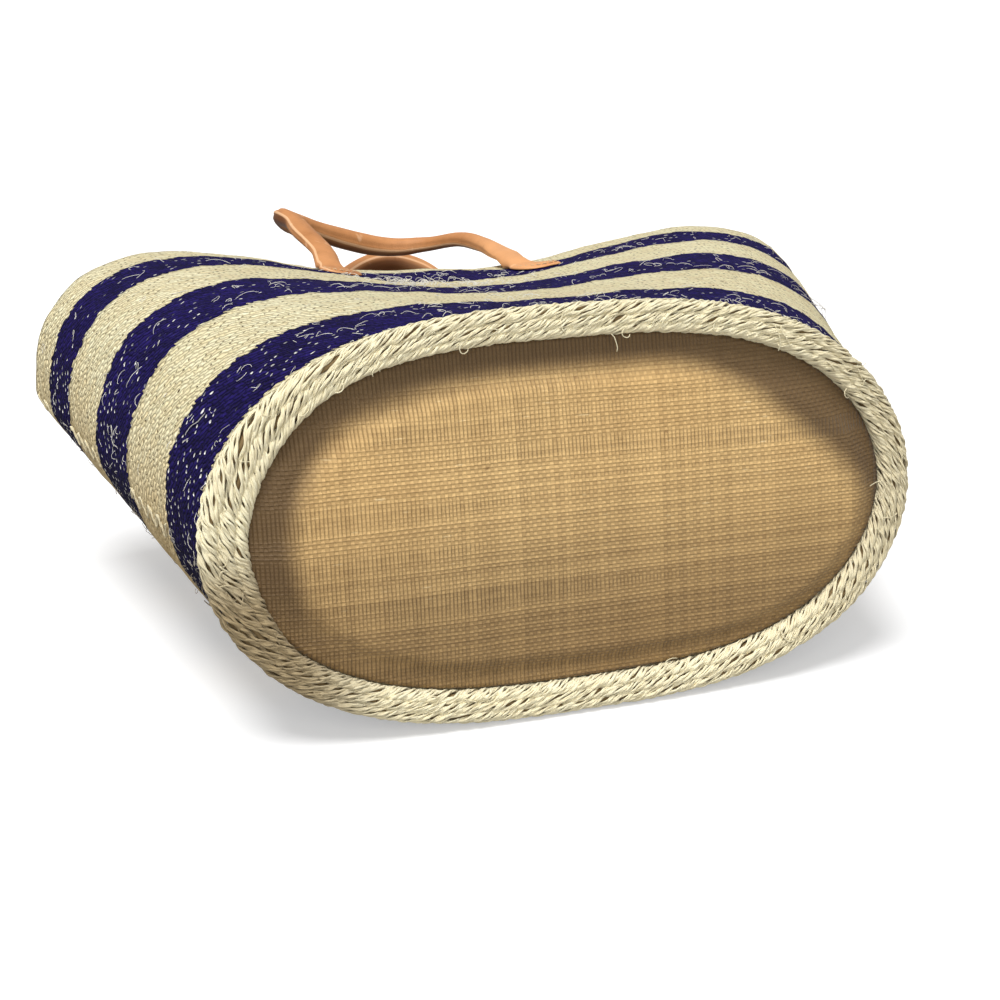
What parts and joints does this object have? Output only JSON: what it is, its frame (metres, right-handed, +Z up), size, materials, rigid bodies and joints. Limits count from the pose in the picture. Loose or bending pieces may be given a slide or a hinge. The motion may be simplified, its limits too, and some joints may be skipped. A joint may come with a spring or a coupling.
{
  "type": "straw tote bag",
  "caption": "Woven straw tote bag lying on its side, with natural and indigo bands, a rolled base border, a raffia base and two rolled leather handles",
  "frame": {"origin": "Middle of the bag's footprint, on the surface that it lies on.", "axes": "+X along the base oval and the mouth, the bag's width; +Y from the base towards the mouth; +Z up, square to the surface that the bag lies on"},
  "size_m": [0.5056, 0.4178, 0.2034],
  "materials": {
    "straw_natural": "woven natural straw, matte",
    "straw_indigo": "woven straw dyed indigo, matte",
    "straw_border": "rolled natural straw strands, matte",
    "raffia_cloth": "golden raffia cloth, low sheen",
    "board": "plain fibre board",
    "lining_cloth": "plain cotton cloth, matte",
    "leather": "smooth tan leather, satin",
    "cord": "twisted cotton cord, matte",
    "thread": "waxed thread"
  },
  "bodies": {
    "bag": {"weft_band_1_natural": "straw_natural", "weft_band_2_indigo": "straw_indigo", "weft_band_3_natural": "straw_natural", "weft_band_4_indigo": "straw_indigo", "weft_band_5_natural": "straw_natural", "weft_band_6_indigo": "straw_indigo", "weft_band_7_natural": "straw_natural", "mouth_hem": "straw_natural", "side_seam_lacing": "straw_natural", "base_border": "straw_border", "base_cover": "raffia_cloth", "base_board": "board", "base_lining": "lining_cloth", "tab_front_left": "leather", "tab_front_right": "leather", "tab_back_left": "leather", "tab_back_right": "leather", "tab_thread_front_left": "thread", "tab_thread_front_right": "thread", "tab_thread_back_left": "thread", "tab_thread_back_right": "thread"},
    "handle_front": {"handle_front_sleeve": "leather", "handle_front_core": "cord"},
    "handle_back": {"handle_back_sleeve": "leather", "handle_back_core": "cord"}
  },
  "joints": [
    {"name": "handle_front_swing", "type": "hinge", "parent": "bag", "child": "handle_front", "pos_m": [-0.01443, 0.07516, 0.1686], "axis": [0.9987, 0.0062, -0.0502], "range_deg": [0, 115]},
    {"name": "handle_back_swing", "type": "hinge", "parent": "bag", "child": "handle_back", "pos_m": [-0.01474, 0.05842, 0.0055], "axis": [1, 0.0097, 0], "range_deg": [-115, 0]}
  ]
}
